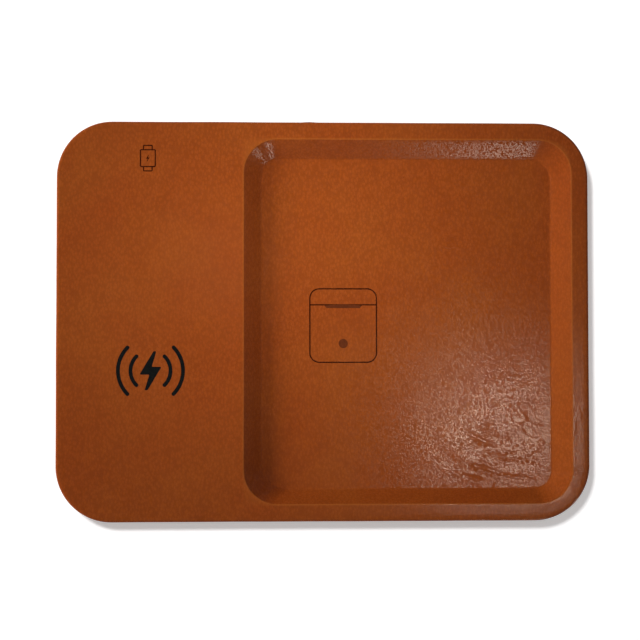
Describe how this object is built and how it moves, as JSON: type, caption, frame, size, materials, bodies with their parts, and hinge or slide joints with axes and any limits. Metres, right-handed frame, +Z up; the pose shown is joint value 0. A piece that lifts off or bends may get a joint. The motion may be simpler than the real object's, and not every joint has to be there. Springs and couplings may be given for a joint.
{
  "type": "charging tray",
  "caption": "Leather-wrapped catch-all tray with a flat charging pad for a phone and a watch on the left and a pressed-in tray with an earbuds charging spot on the right.",
  "frame": {"origin": "centre of the footprint, on the table under the feet", "axes": "+X to the right with the phone pad on the left, +Y towards the rear edge with the power inlet, +Z up"},
  "size_m": [0.2688, 0.2014, 0.018],
  "materials": {
    "tan_leather": "semi-matte grained leather, slight sheen",
    "dark_print": "thin dark print let into the leather",
    "shell_plastic": "black moulded plastic",
    "base_plastic": "fine-textured black moulded plastic",
    "foot_rubber": "soft matt rubber",
    "screw_steel": "zinc-plated",
    "inlet_steel": "bright nickel-plated",
    "black_insert": "glass-filled plastic",
    "bezel_plastic": "satin black",
    "coil_copper": "enamelled copper wire",
    "ferrite": "sintered, dark grey",
    "grey_foam": "closed-cell foam",
    "bracket_plastic": "moulded plastic",
    "magnet_nickel": "nickel-plated",
    "clear_tape": "amber polyimide tape",
    "board_green": "solder mask",
    "chip_black": "moulded package",
    "inductor_grey": "pressed powder core",
    "capacitor_tan": "ceramic chip",
    "connector_white": "natural nylon",
    "wire_red": "insulated wire"
  },
  "bodies": {
    "root": {"leather_cover": "tan_leather", "phone_mark": "dark_print", "watch_mark": "dark_print", "earbuds_mark": "dark_print", "upper_shell": "shell_plastic", "base_cover": "base_plastic", "rubber_feet": "foot_rubber", "base_screws": "screw_steel", "phone_coil": "coil_copper", "phone_ferrite": "ferrite", "phone_coil_foam": "grey_foam", "phone_coil_bracket": "bracket_plastic", "phone_bracket_screws": "screw_steel", "phone_coil_leads": "coil_copper", "watch_coil": "coil_copper", "watch_ferrite": "ferrite", "watch_magnet": "magnet_nickel", "watch_holder": "bracket_plastic", "watch_holder_screws": "screw_steel", "watch_coil_leads": "coil_copper", "earbuds_coil": "coil_copper", "earbuds_ferrite": "ferrite", "earbuds_coil_tape": "clear_tape", "earbuds_foam": "grey_foam", "earbuds_coil_leads": "coil_copper", "main_board": "board_green", "controller_chips": "chip_black", "power_inductors": "inductor_grey", "resonant_capacitors": "capacitor_tan", "coil_connectors": "connector_white", "harness_connectors": "connector_white", "main_board_screws": "screw_steel", "usb_board": "board_green", "usb_socket_shell": "inlet_steel", "usb_socket_tongue": "black_insert", "usb_board_screws": "screw_steel", "usb_harness": "wire_red", "port_bezel": "bezel_plastic"}
  },
  "joints": []
}
